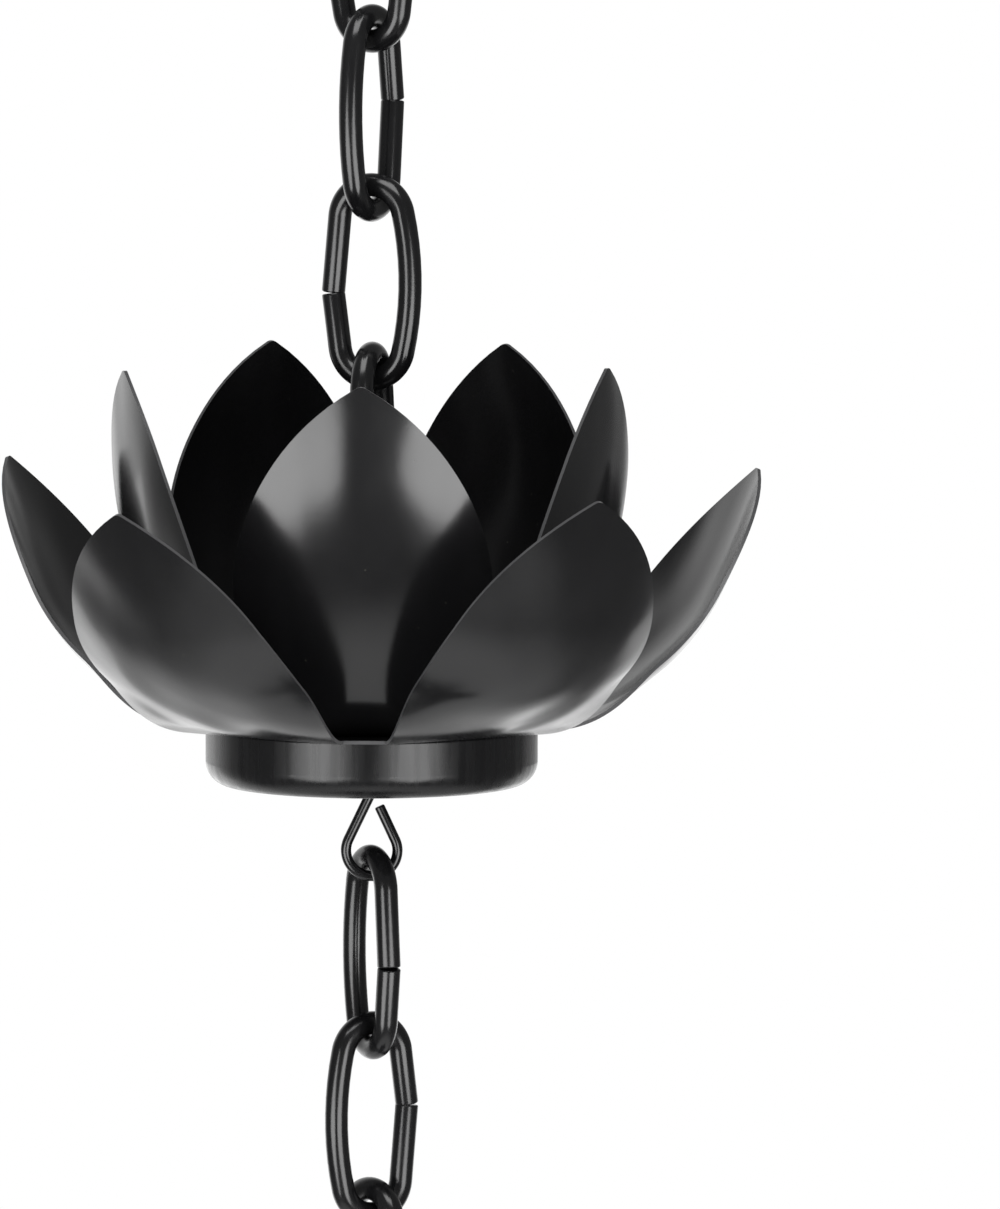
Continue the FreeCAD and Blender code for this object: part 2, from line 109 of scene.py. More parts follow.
def painted_steel(name, shine, roughness, grain_mm, grain_stretch, wave, pebble,
                  tones=(PAINT_DARK, PAINT_PALE)):
    """Black powder paint, baked on, with a few specks of dust in it. Its shine varies in long
    patches, grain_mm wide and stretched along the way that the piece was drawn. The steel
    under it is a little wavy, and the skin of the paint is pebbled. Both are given as a width
    and a height in mm."""
    material = bpy.data.materials.new(name)
    material.use_nodes = True
    tree = material.node_tree
    tree.nodes.clear()
    place = add_node(tree, "ShaderNodeTexCoord").outputs["Object"]
    drawn = add_node(tree, "ShaderNodeMapping", inputs={"Vector": place, "Scale": grain_stretch})
    grain = add_node(tree, "ShaderNodeTexNoise", inputs={
        "Vector": drawn.outputs["Vector"], "Scale": 1 / (grain_mm * MM), "Detail": 4.0, "Roughness": 0.55})
    gloss = add_node(tree, "ShaderNodeMapRange", inputs={
        "Value": grain.outputs["Fac"], "From Min": GRAIN_RANGE[0], "From Max": GRAIN_RANGE[1],
        "To Min": roughness[0], "To Max": roughness[1]})
    tone = add_node(tree, "ShaderNodeMix", {"data_type": "RGBA"}, {
        0: grain.outputs["Fac"], 6: linear(tones[0]), 7: linear(tones[1])})
    dust = add_node(tree, "ShaderNodeTexVoronoi", inputs={
        "Vector": place, "Scale": 1 / (DUST_SPACING * MM)})
    speck = add_node(tree, "ShaderNodeMapRange", inputs={
        "Value": dust.outputs["Distance"], "From Min": DUST_EDGE[0], "From Max": DUST_EDGE[1],
        "To Min": DUST_SHARE, "To Max": 0.0})
    colour = add_node(tree, "ShaderNodeMix", {"data_type": "RGBA"}, {
        0: speck.outputs["Result"], 6: tone.outputs[2], 7: linear(PAINT_DUST)})
    waves = add_node(tree, "ShaderNodeTexNoise", inputs={
        "Vector": drawn.outputs["Vector"], "Scale": 1 / (wave[0] * MM), "Detail": 1.0, "Roughness": 0.4})
    metal = add_node(tree, "ShaderNodeBump", inputs={
        "Height": waves.outputs["Fac"], "Distance": wave[1] * MM, "Strength": 1.0})
    pebbles = add_node(tree, "ShaderNodeTexNoise", inputs={
        "Vector": place, "Scale": 1 / (pebble[0] * MM), "Detail": 2.0, "Roughness": 0.5})
    skin = add_node(tree, "ShaderNodeBump", inputs={
        "Height": pebbles.outputs["Fac"], "Distance": pebble[1] * MM, "Strength": 1.0,
        "Normal": metal.outputs["Normal"]})
    paint = add_node(tree, "ShaderNodeBsdfPrincipled", inputs={
        "Base Color": colour.outputs[2], "Roughness": gloss.outputs["Result"],
        "Normal": skin.outputs["Normal"], "Metallic": 0.0, "Specular IOR Level": shine, "IOR": PAINT_IOR})
    add_node(tree, "ShaderNodeOutputMaterial", inputs={"Surface": paint.outputs["BSDF"]})
    return material


# Drawn wire under the paint gives the eye long narrow streaks of light, broken only a little.
link_paint = painted_steel(
    "painted steel wire", shine=0.5, roughness=(0.16, 0.24), grain_mm=2.5,
    grain_stretch=(1.0, 1.0, 0.15), wave=(9.0, 0.06), pebble=(1.8, 0.008))


def dress(piece, body, node):
    """The piece moves with a body, and the CAD part of the node that it stands for is hidden."""
    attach(piece, body)
    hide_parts(node)


def new_tree(name, inputs):
    """A node group with a geometry input and output, the given float inputs and a paint."""
    tree = bpy.data.node_groups.new(name, "GeometryNodeTree")
    tree.interface.new_socket("Geometry", in_out="INPUT", socket_type="NodeSocketGeometry")
    for label in inputs:
        tree.interface.new_socket(label, in_out="INPUT", socket_type="NodeSocketFloat")
    tree.interface.new_socket("Paint", in_out="INPUT", socket_type="NodeSocketMaterial")
    tree.interface.new_socket("Geometry", in_out="OUTPUT", socket_type="NodeSocketGeometry")
    return tree


def follow_rule(tree, start, rule):
    """Adds a Math node for each row of a rule: the name of its result, what it does, and the
    names or numbers that it takes. Returns the value of every name."""
    known = dict(start)
    for name, operation, *terms in rule:
        inputs = {index: known.get(term, term) for index, term in enumerate(terms)}
        known[name] = add_node(tree, "ShaderNodeMath", {"operation": operation}, inputs).outputs["Value"]
    return known


def shaped(name, source, tree, values):
    """The plain mesh that a tree makes of a source mesh, as a new object."""
    carrier = bpy.data.objects.new(name, source)
    scene.collection.objects.link(carrier)
    modifier = carrier.modifiers.new(tree.name, "NODES")
    modifier.node_group = tree
    for socket in tree.interface.items_tree:
        if socket.name in values:
            modifier[socket.identifier] = values[socket.name]
    evaluated = carrier.evaluated_get(bpy.context.evaluated_depsgraph_get())
    mesh = bpy.data.meshes.new_from_object(evaluated)
    bpy.data.objects.remove(carrier)
    # The source's empty slot comes first in the new mesh, so the paint is made the only slot.
    mesh.materials.clear()
    mesh.materials.append(values["Paint"])
    mesh.polygons.foreach_set("material_index", [0] * len(mesh.polygons))
    piece = bpy.data.objects.new(name, mesh)
    scene.collection.objects.link(piece)
    return piece


def bent_wire_tree():
    """Sweeps round wire along the source's edges, rounds its cut ends, turns it about the
    vertical and the other way up where asked, and hangs it at its height."""
    tree = new_tree("bent wire", ["Wire", "End round", "Turn", "Upside down", "Height"])
    given = add_node(tree, "NodeGroupInput").outputs
    line = add_node(tree, "GeometryNodeMeshToCurve", inputs={"Mesh": given["Geometry"]})
    run = add_node(tree, "GeometryNodeSplineParameter").outputs["Length"]
    whole = add_node(tree, "GeometryNodeSplineLength").outputs["Length"]
    start = {"wire": given["Wire"], "round": given["End round"], "run": run, "whole": whole,
             "upside down": given["Upside down"]}
    value = follow_rule(tree, start, [
        ("other way", "SUBTRACT", "whole", "run"),
        ("from end", "MINIMUM", "run", "other way"),
        ("share", "DIVIDE", "from end", "round"),
        ("inward", "SUBTRACT", 1.0, "share"),
        ("short", "MAXIMUM", "inward", 0.0),
        ("square", "MULTIPLY", "short", "short"),
        ("left", "SUBTRACT", 1.0, "square"),
        ("arc", "SQRT", "left"),
        ("drop share", "SUBTRACT", 1.0, "arc"),
        ("drop", "MULTIPLY", "drop share", "round"),
        ("half wire", "MULTIPLY", "wire", 0.5),
        ("radius", "SUBTRACT", "half wire", "drop"),
        ("half turn", "MULTIPLY", "upside down", math.pi)])
    ring = add_node(tree, "GeometryNodeCurvePrimitiveCircle", inputs={
        "Resolution": WIRE_SIDES, "Radius": 1.0})
    wire = add_node(tree, "GeometryNodeCurveToMesh", inputs={
        "Curve": line.outputs["Curve"], "Profile Curve": ring.outputs["Curve"], "Scale": value["radius"],
        "Fill Caps": True})
    smooth = add_node(tree, "GeometryNodeSetShadeSmooth", inputs={"Geometry": wire.outputs["Mesh"]})
    turn = add_node(tree, "ShaderNodeCombineXYZ", inputs={"X": value["half turn"], "Z": given["Turn"]})
    rise = add_node(tree, "ShaderNodeCombineXYZ", inputs={"Z": given["Height"]})
    placed = add_node(tree, "GeometryNodeTransform", inputs={
        "Geometry": smooth.outputs["Geometry"], "Rotation": turn.outputs["Vector"],
        "Translation": rise.outputs["Vector"]})
    real = add_node(tree, "GeometryNodeRealizeInstances", inputs={"Geometry": placed.outputs["Geometry"]})
    painted = add_node(tree, "GeometryNodeSetMaterial", inputs={
        "Geometry": real.outputs["Geometry"], "Material": given["Paint"]})
    add_node(tree, "NodeGroupOutput", inputs={"Geometry": painted.outputs["Geometry"]})
    return tree


def around(centre, radius, start, end):
    """Points in mm along an arc in the wire's plane, from one angle in degrees to another."""
    steps = max(2, round(abs(end - start) / WIRE_STEP))
    angles = [math.radians(start + (end - start) * step / steps) for step in range(steps + 1)]
    return [(centre[0] + radius * math.cos(a), centre[1] + radius * math.sin(a)) for a in angles]


def wire_line(name, points):
    """A source mesh whose edges follow the points, with close points where the ends round."""
    ends = []
    for near, far in ((points[0], points[1]), (points[-1], points[-2])):
        length = math.dist(near, far)
        shares = [END_ROUND * (1 - math.cos(math.pi / 2 * step / END_STEPS)) / length
                  for step in range(END_STEPS + 1)]
        ends.append([(near[0] + (far[0] - near[0]) * s, near[1] + (far[1] - near[1]) * s) for s in shares])
    whole = ends[0] + points[1:-1] + ends[1][::-1]
    edges = [(i, i + 1) for i in range(len(whole) - 1)]
    mesh = bpy.data.meshes.new(name)
    mesh.from_pydata([(x * MM, 0.0, z * MM) for x, z in whole], edges, [])
    return mesh


def link_line():
    """The centre line: up from the joint, round the top, down the bowed leg, round the foot
    and up to the joint again."""
    reach = (LINK_WIDTH - LINK_WIRE) / 2
    rise = (LINK_LENGTH - LINK_WIRE) / 2 - LINK_BEND
    leg_radius = (reach ** 2 + rise ** 2 - LINK_BEND ** 2) / (2 * (reach - LINK_BEND))
    leg_centre = leg_radius - reach
    leg_angle = math.degrees(math.atan2(rise, leg_centre))

    def meeting(height, side):
        """Angle of the bend where the straight run to the joint leaves it."""
        joint_way = math.degrees(math.atan2(JOINT_RISE - height, reach))
        joint_far = math.hypot(reach, JOINT_RISE - height)
        return joint_way + side * math.degrees(math.acos(LINK_BEND / joint_far))

    top = meeting(rise, 1)
    foot = meeting(-rise, -1)
    half_gap = JOINT_GAP / 2
    upper_end = (reach - half_gap * math.sin(math.radians(top)),
                 JOINT_RISE + half_gap * math.cos(math.radians(top)))
    lower_end = (reach + half_gap * math.sin(math.radians(foot)),
                 JOINT_RISE - half_gap * math.cos(math.radians(foot)))
    return ([upper_end] + around((0, rise), LINK_BEND, top, 180 - leg_angle)
            + around((leg_centre, 0), leg_radius, 180 - leg_angle, 180 + leg_angle)[1:]
            + around((0, -rise), LINK_BEND, 180 + leg_angle, 360 + foot)[1:] + [lower_end])


bent_wire = bent_wire_tree()
link_source = wire_line("link line", link_line())
link_names = sorted(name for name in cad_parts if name.startswith("link_"))
for count, name in enumerate(link_names):
    place = (count + LINKS_BETWEEN - LINKS_AT_TOP) % LINKS_BETWEEN + 1
    lowest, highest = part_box(name)
    link = shaped(f"wire_{name}", link_source, bent_wire, {
        "Wire": LINK_WIRE * MM, "End round": END_ROUND * MM, "Upside down": float(place % 2),
        "Turn": math.radians(FIRST_TURN + LINK_TURN * place), "Height": (lowest[2] + highest[2]) / 2,
        "Paint": link_paint})
    dress(link, name, name)


# Cup hooks
# One thin wire carries each cup. Its eye closes round the link above, the straight stem goes
# down through the cup, and the open teardrop below holds the cup up and takes the next link.

HOOK_WIRE = 1.8
EYE_RISE = 34.2
EYE_BEND = 4.9
EYE_END_ANGLE = 20.0
STEM_BEND = 2.5
BASE_HEIGHT = 9.9
SHOULDER_DROP = 0.8
LOOP_DROP = 25.8
LOOP_BEND = 4.4
TAIL_LEAN = 25.0
TAIL_LENGTH = 6.4
CUPS = 3

# The thinner wire is drawn finer, so its streaks of light are sharper than the links'.
hook_paint = painted_steel(
    "painted hook wire", shine=0.5, roughness=(0.14, 0.2), grain_mm=2.0,
    grain_stretch=(1.0, 1.0, 0.2), wave=(7.0, 0.03), pebble=(1.5, 0.005))


def hook_line():
    """The centre line from the eye's cut end, down the stem and round the loop to the tail."""
    eye = EYE_RISE - EYE_BEND
    neck = eye - math.sqrt((EYE_BEND + STEM_BEND) ** 2 - STEM_BEND ** 2)
    neck_angle = math.degrees(math.atan2(eye - neck, STEM_BEND))
    shoulder = -BASE_HEIGHT - SHOULDER_DROP
    loop = LOOP_BEND - LOOP_DROP
    splay = math.degrees(math.asin((STEM_BEND + LOOP_BEND) / math.hypot(STEM_BEND, shoulder - loop))
                         - math.atan2(STEM_BEND, shoulder - loop))
    lean = math.radians(TAIL_LEAN)
    tail = (LOOP_BEND * math.cos(lean), loop + LOOP_BEND * math.sin(lean))
    return (around((0, eye), EYE_BEND, EYE_END_ANGLE - 90, 180 + neck_angle)
            + around((-STEM_BEND, neck), STEM_BEND, neck_angle, 0)[1:]
            + around((-STEM_BEND, shoulder), STEM_BEND, 0, -splay)
            + around((0, loop), LOOP_BEND, 180 - splay, 360 + TAIL_LEAN)
            + [(tail[0] - TAIL_LENGTH * math.sin(lean), tail[1] + TAIL_LENGTH * math.cos(lean))])


hook_source = wire_line("hook line", hook_line())
ring_heights = {}
for cup in range(1, CUPS + 1):
    ring_heights[cup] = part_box(f"cup_{cup}_base")[1][2]
    hook = shaped(f"wire_hook_{cup}", hook_source, bent_wire, {
        "Wire": HOOK_WIRE * MM, "End round": END_ROUND * MM, "Height": ring_heights[cup],
        "Turn": 0.0, "Upside down": 0.0, "Paint": hook_paint})
    dress(hook, f"cup_{cup}", f"cup_{cup}_hook")


# Cup bases
# Each base is a shallow dish, drawn from 1 mm sheet and pierced for the hook and the drain.
# The draw leaves fine upright marks round its wall, which show through the paint.

# The upright marks give its highlights a brushed edge, and the paint on it is the dullest.
base_paint = painted_steel(
    "painted drawn steel", shine=0.4, roughness=(0.2, 0.34), grain_mm=1.6,
    grain_stretch=(1.0, 1.0, 0.06), wave=(2.4, 0.02), pebble=(1.6, 0.006))
for cup in range(1, CUPS + 1):
    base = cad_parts[f"cup_{cup}_base"]
    base.data.materials.clear()
    base.data.materials.append(base_paint)


# Lotus flowers
# Each cup has two flowers of five petals, stamped from one blank of 0.6 mm sheet. The outer
# petals are pressed low and wide and the inner ones stand up, each a little differently set.

SHEET = 0.6
SHEET_ROUND = 0.27
PETALS = 5
PETAL_REACH = 91.5
PETAL_WIDEST_AT = 53.9
PETAL_WIDTH = 44.6
PETAL_ROOT_WIDTH = 31.6
PETAL_TIP_ROUND = 1.7
CUPPING_RUN = 21.6
FLOWER_HOLE = 12.0
HOLE_SIDES = 60
RIM_SEGMENTS = 4
RIM_ANGLE = 50
# The rim's paler tones are a painted highlight along each petal's cut edge.
RIM_HIGHLIGHT_TONES = ("#3c3c3d", "#4a4a4b")
RIM_SLOT = 1
LEVEL_WITHIN = 1e-6
PETAL_ROWS = 64
PETAL_COLUMNS = 33
ROW_CROWDING = 1.5
BOW_CROWDING = 4.0
LEAST_CURVATURE = 0.001
OUTER = {"root": 28.0, "root bend": 6.0, "root angle": 5.7, "belly": 38.9, "tip curl": 250.0,
         "tip length": 24.0, "cup": 51.4, "first": 180.0,
         "set": (0.0, 3.0, -3.5, 0.0, 0.0), "lean": (0.0, 0.0, 2.5, -1.0, -1.0)}
INNER = {"root": 24.0, "root bend": 3.0, "root angle": 53.3, "belly": 75.9, "tip curl": 250.0,
         "tip length": 15.0, "cup": 59.7, "first": 0.0,
         "set": (-6.5, -2.5, 3.0, 8.5, -4.0), "lean": (0.0, -2.0, 0.0, -0.5, 4.5)}

# The press leaves the sheet softly wavy, so the eye sees smeared patches of light on it.
petal_paint = painted_steel(
    "painted pressed steel", shine=0.6, roughness=(0.15, 0.23), grain_mm=14.0,
    grain_stretch=(1.0, 1.0, 0.5), wave=(20.0, 1.8), pebble=(1.6, 0.006))
# The low petals are pressed deeper and wider, so their smears are the strongest.
deep_paint = painted_steel(
    "painted deep pressed steel", shine=0.6, roughness=(0.17, 0.26), grain_mm=14.0,
    grain_stretch=(1.0, 1.0, 0.5), wave=(21.0, 3.0), pebble=(1.6, 0.006))
# The cut rim is given paler tones: a painted highlight in place of the fine line of light that the rounded
# edge catches round each petal.
rim_highlight_paint = painted_steel(
    "painted highlight on the cut rim", shine=0.5, roughness=(0.3, 0.36), grain_mm=14.0,
    grain_stretch=(1.0, 1.0, 0.5), wave=(18.0, 0.0), pebble=(1.6, 0.0), tones=RIM_HIGHLIGHT_TONES)


def petal_tree():
    """A petal grows from a flat grid. Its rows run from the root to the tip and its columns
    from side to side, closest at the root. The blank's outline is set first, then the sheet
    is bent along its spine in three arcs and cupped across it."""
    inputs = ["Root", "Sides end", "Widest", "Half width", "Tip side", "Root side", "Tip centre",
              "Tip round", "Bend", "Bend length", "Belly", "Belly length", "Curl", "Cup", "Cupping run",
              "Lean", "Spine", "Turn", "Height"]
    tree = new_tree("pressed petal", inputs)
    given = add_node(tree, "NodeGroupInput").outputs
    sheet = add_node(tree, "GeometryNodeMeshGrid", inputs={
        "Size X": 1.0, "Size Y": 2.0, "Vertices X": PETAL_ROWS, "Vertices Y": PETAL_COLUMNS})
    place = add_node(tree, "GeometryNodeInputPosition").outputs["Position"]
    flat = add_node(tree, "ShaderNodeSeparateXYZ", inputs={"Vector": place}).outputs
    start = {label.lower(): given[label] for label in inputs} | {"row": flat["X"], "side": flat["Y"]}
    value = follow_rule(tree, start, [
        # How far out the row lies. Rows stand closer together near the root.
        ("from root", "ADD", "row", 0.5),
        ("share", "POWER", "from root", ROW_CROWDING),
        ("side run", "SUBTRACT", "sides end", "root"),
        ("level", "MULTIPLY", "share", "side run"),
        ("from centre", "ADD", "root", "level"),
        # Half the width there, on the arc of the root's side or of the tip's side.
        ("from widest", "SUBTRACT", "from centre", "widest"),
        ("past widest", "GREATER_THAN", "from widest", 0.0),
        ("side step", "SUBTRACT", "tip side", "root side"),
        ("side arc", "MULTIPLY_ADD", "past widest", "side step", "root side"),
        ("arc squared", "MULTIPLY", "side arc", "side arc"),
        ("run squared", "MULTIPLY", "from widest", "from widest"),
        ("chord", "SUBTRACT", "arc squared", "run squared"),
        ("arc reach", "SQRT", "chord"),
        ("arc centre", "SUBTRACT", "half width", "side arc"),
        ("half here", "ADD", "arc reach", "arc centre"),
        ("across", "MULTIPLY", "half here", "side"),
        # The tip's small round, which bows the last rows outward.
        ("end run", "SUBTRACT", "sides end", "widest"),
        ("end run squared", "MULTIPLY", "end run", "end run"),
        ("tip squared", "MULTIPLY", "tip side", "tip side"),
        ("end chord", "SUBTRACT", "tip squared", "end run squared"),
        ("end reach", "SQRT", "end chord"),
        ("end centre", "SUBTRACT", "half width", "tip side"),
        ("end half", "ADD", "end reach", "end centre"),
        ("end across", "MULTIPLY", "end half", "side"),
        ("end across squared", "MULTIPLY", "end across", "end across"),
        ("round squared", "MULTIPLY", "tip round", "tip round"),
        ("bow chord", "SUBTRACT", "round squared", "end across squared"),
        ("bow arc", "SQRT", "bow chord"),
        ("bow reach", "ADD", "tip centre", "bow arc"),
        ("bow", "SUBTRACT", "bow reach", "sides end"),
        ("bow share", "POWER", "share", BOW_CROWDING),
        ("along", "MULTIPLY_ADD", "bow", "bow share", "level"),
        # The stretches in the root's bend, the belly and the curl, and the slope after each.
        ("in bend", "MINIMUM", "along", "bend length"),
        ("past bend", "SUBTRACT", "along", "in bend"),
        ("in belly", "MINIMUM", "past bend", "belly length"),
        ("in curl", "SUBTRACT", "past bend", "in belly"),
        ("bend slope", "DIVIDE", "in bend", "bend"),
        ("belly turn", "DIVIDE", "in belly", "belly"),
        ("belly slope", "ADD", "bend slope", "belly turn"),
        ("curl turn", "DIVIDE", "in curl", "curl"),
        ("slope", "ADD", "belly slope", "curl turn"),
        # Where that puts the spine: how far out and how high.
        ("bend sine", "SINE", "bend slope"),
        ("belly sine", "SINE", "belly slope"),
        ("slope sine", "SINE", "slope"),
        ("bend cosine", "COSINE", "bend slope"),
        ("belly cosine", "COSINE", "belly slope"),
        ("slope cosine", "COSINE", "slope"),
        ("out at bend", "MULTIPLY_ADD", "bend", "bend sine", "root"),
        ("belly sines", "SUBTRACT", "belly sine", "bend sine"),
        ("out at belly", "MULTIPLY_ADD", "belly", "belly sines", "out at bend"),
        ("curl sines", "SUBTRACT", "slope sine", "belly sine"),
        ("out", "MULTIPLY_ADD", "curl", "curl sines", "out at belly"),
        ("bend cosines", "SUBTRACT", 1.0, "bend cosine"),
        ("rise at bend", "MULTIPLY", "bend", "bend cosines"),
        ("belly cosines", "SUBTRACT", "bend cosine", "belly cosine"),
        ("rise at belly", "MULTIPLY_ADD", "belly", "belly cosines", "rise at bend"),
        ("curl cosines", "SUBTRACT", "belly cosine", "slope cosine"),
        ("rise", "MULTIPLY_ADD", "curl", "curl cosines", "rise at belly"),
        # The cupping from side to side, which grows from nothing at the root.
        ("cupping", "DIVIDE", "along", "cupping run"),
        ("cupping share", "MINIMUM", "cupping", 1.0),
        ("share squared", "MULTIPLY", "cupping share", "cupping share"),
        ("share left", "MULTIPLY_ADD", "cupping share", -2.0, 3.0),
        ("smooth share", "MULTIPLY", "share squared", "share left"),
        ("curvature", "DIVIDE", "smooth share", "cup"),
        ("some curvature", "MAXIMUM", "curvature", LEAST_CURVATURE),
        ("turned", "MULTIPLY", "across", "some curvature"),
        ("turned sine", "SINE", "turned"),
        ("sideways", "DIVIDE", "turned sine", "some curvature"),
        ("half turned", "MULTIPLY", "turned", 0.5),
        ("half sine", "SINE", "half turned"),
        ("half sine squared", "MULTIPLY", "half sine", "half sine"),
        ("twice", "MULTIPLY", "half sine squared", 2.0),
        ("lift", "DIVIDE", "twice", "some curvature"),
        # A lean to one side that grows towards the tip, and then the place of the point.
        ("spine share", "DIVIDE", "along", "spine"),
        ("lean share", "MULTIPLY", "spine share", "spine share"),
        ("leaned", "MULTIPLY_ADD", "lean", "lean share", "sideways"),
        ("lift back", "MULTIPLY", "lift", "slope sine"),
        ("x", "SUBTRACT", "out", "lift back"),
        ("z", "MULTIPLY_ADD", "lift", "slope cosine", "rise")])
    pressed = add_node(tree, "ShaderNodeCombineXYZ", inputs={
        "X": value["x"], "Y": value["leaned"], "Z": value["z"]})
    petal = add_node(tree, "GeometryNodeSetPosition", inputs={
        "Geometry": sheet.outputs["Mesh"], "Position": pressed.outputs["Vector"]})
    turn = add_node(tree, "ShaderNodeCombineXYZ", inputs={"Z": given["Turn"]})
    rise = add_node(tree, "ShaderNodeCombineXYZ", inputs={"Z": given["Height"]})
    placed = add_node(tree, "GeometryNodeTransform", inputs={
        "Geometry": petal.outputs["Geometry"], "Rotation": turn.outputs["Vector"],
        "Translation": rise.outputs["Vector"]})
    smooth = add_node(tree, "GeometryNodeSetShadeSmooth", inputs={"Geometry": placed.outputs["Geometry"]})
    real = add_node(tree, "GeometryNodeRealizeInstances", inputs={"Geometry": smooth.outputs["Geometry"]})
    painted = add_node(tree, "GeometryNodeSetMaterial", inputs={
        "Geometry": real.outputs["Geometry"], "Material": given["Paint"]})
    add_node(tree, "NodeGroupOutput", inputs={"Geometry": painted.outputs["Geometry"]})
    return tree


def blank_outline():
    """The stamped petal's arcs: one each side towards the tip, one each side towards the
    root, and a small one that rounds the tip."""
    half = PETAL_WIDTH / 2
    tip_run = PETAL_REACH - PETAL_WIDEST_AT
    tip_side = (tip_run ** 2 + half ** 2) / (2 * half)
    root_run = PETAL_WIDEST_AT - OUTER["root"]
    root_drop = half - PETAL_ROOT_WIDTH / 2
    small = PETAL_TIP_ROUND
    run = math.sqrt((tip_side - small) ** 2 - (tip_side - half) ** 2)
    return {"Half width": half, "Widest": PETAL_WIDEST_AT, "Tip side": tip_side,
            "Root side": (root_run ** 2 + root_drop ** 2) / (2 * root_drop), "Tip round": small,
            "Tip centre": PETAL_WIDEST_AT + run,
            "Sides end": PETAL_WIDEST_AT + run * tip_side / (tip_side - small)}


pressed_petal = petal_tree()
blank = blank_outline()
no_source = bpy.data.meshes.new("petal source")


def petal_mesh(layer, number, height):
    """One petal of a flower, numbered round from the flower's first."""
    bend_length = layer["root bend"] * math.radians(layer["root angle"] + layer["set"][number])
    spine = PETAL_REACH - layer["root"]
    sizes = blank | {
        "Root": layer["root"], "Bend": layer["root bend"], "Bend length": bend_length,
        "Belly": layer["belly"], "Belly length": spine - bend_length - layer["tip length"],
        "Curl": layer["tip curl"], "Cup": layer["cup"], "Cupping run": CUPPING_RUN,
        "Lean": layer["lean"][number], "Spine": spine}
    values = {name: size * MM for name, size in sizes.items()}
    values["Turn"] = math.radians(layer["first"] + 360 / PETALS * number - 90)
    values["Height"] = height
    values["Paint"] = petal_paint
    petal = shaped("petal", no_source, pressed_petal, values)
    mesh = petal.data
    bpy.data.objects.remove(petal)
    return mesh


def fill_plate(sheet, height):
    """The flat centre of the flower, out to the petals' roots, with its round hole."""
    def flat(edge):
        return edge.is_boundary and all(abs(v.co.z - height) < LEVEL_WITHIN for v in edge.verts)

    roots = [edge for edge in sheet.edges if flat(edge)]
    ends = {v for edge in roots for v in edge.verts}
    corners = [v for v in ends if sum(edge in roots for edge in v.link_edges) == 1]
    corners.sort(key=lambda v: math.atan2(v.co.y, v.co.x))
    # A notch between two petals has two corners. The list has to start with such a pair.
    if corners[0].co.xy.to_3d().angle(corners[1].co.xy.to_3d()) > math.pi / PETALS:
        corners = corners[1:] + corners[:1]
    notches = [sheet.edges.new((corners[i], corners[i + 1])) for i in range(0, len(corners), 2)]
    radius = FLOWER_HOLE / 2 * MM
    hole = []
    for side in range(HOLE_SIDES):
        angle = 2 * math.pi * side / HOLE_SIDES
        hole.append(sheet.verts.new((radius * math.cos(angle), radius * math.sin(angle), height)))
    rim = [sheet.edges.new((hole[side - 1], hole[side])) for side in range(HOLE_SIDES)]
    filled = bmesh.ops.triangle_fill(sheet, use_beauty=True, edges=roots + notches + rim)
    for face in (item for item in filled["geom"] if isinstance(item, bmesh.types.BMFace)):
        face.smooth = True
        if face.normal.z < 0:
            face.normal_flip()


def make_flower(name, layer, height, paint):
    """Five petals and their plate as one sheet, then its thickness and its rounded edge."""
    sheet = bmesh.new()
    for number in range(PETALS):
        petal = petal_mesh(layer, number, height)
        sheet.from_mesh(petal)
        bpy.data.meshes.remove(petal)
    fill_plate(sheet, height)
    mesh = bpy.data.meshes.new(name)
    sheet.to_mesh(mesh)
    sheet.free()
    mesh.materials.append(paint)
    mesh.materials.append(rim_highlight_paint)
    flower = bpy.data.objects.new(name, mesh)
    scene.collection.objects.link(flower)
    gauge = flower.modifiers.new("gauge", "SOLIDIFY")
    gauge.thickness = SHEET * MM
    gauge.offset = 1.0
    # The rim faces and the rounded edge take the paler tones, a painted highlight along the cut edge.
    gauge.material_offset_rim = RIM_SLOT
    edge = flower.modifiers.new("edge", "BEVEL")
    edge.width = SHEET_ROUND * MM
    edge.segments = RIM_SEGMENTS
    edge.material = RIM_SLOT
    edge.limit_method = "ANGLE"
    edge.angle_limit = math.radians(RIM_ANGLE)
    edge.harden_normals = True
    return flower


flowers = (("outer", OUTER, 0.0, deep_paint), ("inner", INNER, SHEET * MM, petal_paint))
for cup, ring in ring_heights.items():
    for layer_name, layer, lift, paint in flowers:
        flower = make_flower(f"{layer_name}_petals_{cup}", layer, ring + lift, paint)
        dress(flower, f"cup_{cup}", f"cup_{cup}_{layer_name}_flower")


# Studio
# A white backdrop stands behind the chain and two soft panels stand low in front of it, one
# each side of the camera. A panel above and two weak ones behind show the other sides, and
# the floor is pale near the chain and runs out to white.

FLOOR_COLOUR = "#e8e8e8"
FLOOR_DROP = 0.35
FLOOR_SIZE = 30.0
FLOOR_FADE = (0.35, 0.85)
BACKDROP_WAY = (-0.37, 0.93, 0.0)
BACKDROP_EDGE = (0.6, 0.95)
ROOM_SEEN = 0.16
ROOM_LIGHT = 0.35
PANEL_DISTANCE = 1.3
PANEL_SIZE = (0.76, 0.76)
PANEL_BRIGHTNESS = 6.1
PANEL_LEAN = 45.0
LEFT_PANEL_AT = (-34, -12)
RIGHT_PANEL_AT = (32, -12)
REAR_SIZE = (0.9, 0.6)
REAR_BRIGHTNESS = 1.0
LEFT_REAR_AT = (-150, -20)
RIGHT_REAR_AT = (155, -20)
TOP_DISTANCE = 1.6
TOP_SIZE = (1.2, 1.2)
TOP_BRIGHTNESS = 5.0
TOP_AT = (0, 65)
# The picture's size and the place of the cup's ring in it are in pixels, and the scale is in
# pixels to a mm at the ring.
PICTURE = (1000, 1209)
PICTURE_SCALE = 5.85
RING_AT = (371.7, 726.0)
CAMERA_AZIMUTH = 2.2
CAMERA_ELEVATION = 5.6
CAMERA_DISTANCE = 1.8
SENSOR = 36.0
MIDDLE_CUP = 2


